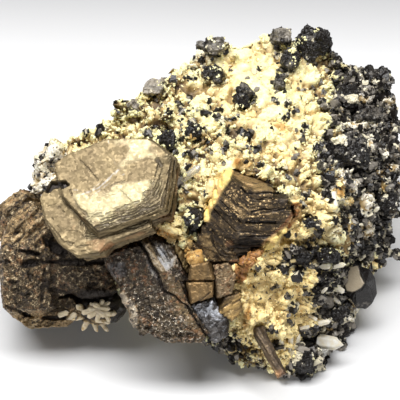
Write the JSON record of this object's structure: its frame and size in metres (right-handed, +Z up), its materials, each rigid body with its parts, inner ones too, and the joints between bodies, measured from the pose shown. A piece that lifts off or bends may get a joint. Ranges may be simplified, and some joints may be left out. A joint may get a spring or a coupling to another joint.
{
  "type": "pyrrhotite on quartz specimen",
  "caption": "Broken block of quartz matrix covered in short quartz points, with bronze tabular pyrrhotite and black sphalerite crystals, resting on its flat broken underside.",
  "frame": {"origin": "on the flat broken face that the block rests on, near its middle", "axes": "+Z up, -Y towards the viewer that the display face leans back from, +X to the right of that viewer along the longest extent"},
  "size_m": [0.1312, 0.1092, 0.0663],
  "materials": {
    "quartz": "cream quartz druse, glassy on its points, stained orange beside the pyrrhotite",
    "clear_quartz": "milky to clear quartz crystals, glossy faces",
    "bronze_pyrrhotite": "bronze metallic lustre, striated edges, brown and blue-grey tarnish",
    "dark_pyrrhotite": "dark brown tarnished bronze, granular and glittering",
    "sphalerite": "black with a resinous to submetallic gloss"
  },
  "bodies": {
    "root": {"pyrrhotite_rosette": "bronze_pyrrhotite", "pyrrhotite_fan": "bronze_pyrrhotite", "pyrrhotite_block_upper": "bronze_pyrrhotite", "pyrrhotite_block_lower": "bronze_pyrrhotite", "pyrrhotite_block_rough": "bronze_pyrrhotite", "pyrrhotite_block_gold": "bronze_pyrrhotite", "pyrrhotite_crust": "dark_pyrrhotite", "pyrrhotite_slab": "dark_pyrrhotite", "pyrrhotite_rods": "bronze_pyrrhotite", "pyrrhotite_blade": "dark_pyrrhotite", "pyrrhotite_left_mass": "dark_pyrrhotite", "sphalerite_crystal_1": "sphalerite", "sphalerite_crystal_2": "sphalerite", "sphalerite_crystal_3": "sphalerite", "sphalerite_crystal_4": "sphalerite", "sphalerite_crystal_5": "sphalerite", "sphalerite_crystal_6": "sphalerite", "sphalerite_crystal_7": "sphalerite", "sphalerite_crystal_8": "sphalerite", "sphalerite_crystal_9": "sphalerite", "sphalerite_crystal_10": "sphalerite", "sphalerite_crystal_11": "sphalerite", "sphalerite_crystal_12": "sphalerite", "sphalerite_crystal_13": "sphalerite", "sphalerite_crystal_14": "sphalerite", "sphalerite_crystal_15": "sphalerite", "sphalerite_crystal_16": "sphalerite", "sphalerite_crystal_17": "sphalerite", "sphalerite_crystal_18": "sphalerite", "sphalerite_crystal_19": "sphalerite", "sphalerite_crystal_20": "sphalerite", "sphalerite_crystal_21": "sphalerite", "sphalerite_crystal_22": "sphalerite", "sphalerite_crystal_23": "sphalerite", "sphalerite_crystal_24": "sphalerite", "quartz_crystal_1": "clear_quartz", "quartz_crystal_2": "clear_quartz", "quartz_crystal_3": "clear_quartz", "quartz_crystal_4": "clear_quartz", "quartz_spray": "quartz", "quartz_matrix": "quartz"}
  },
  "joints": []
}
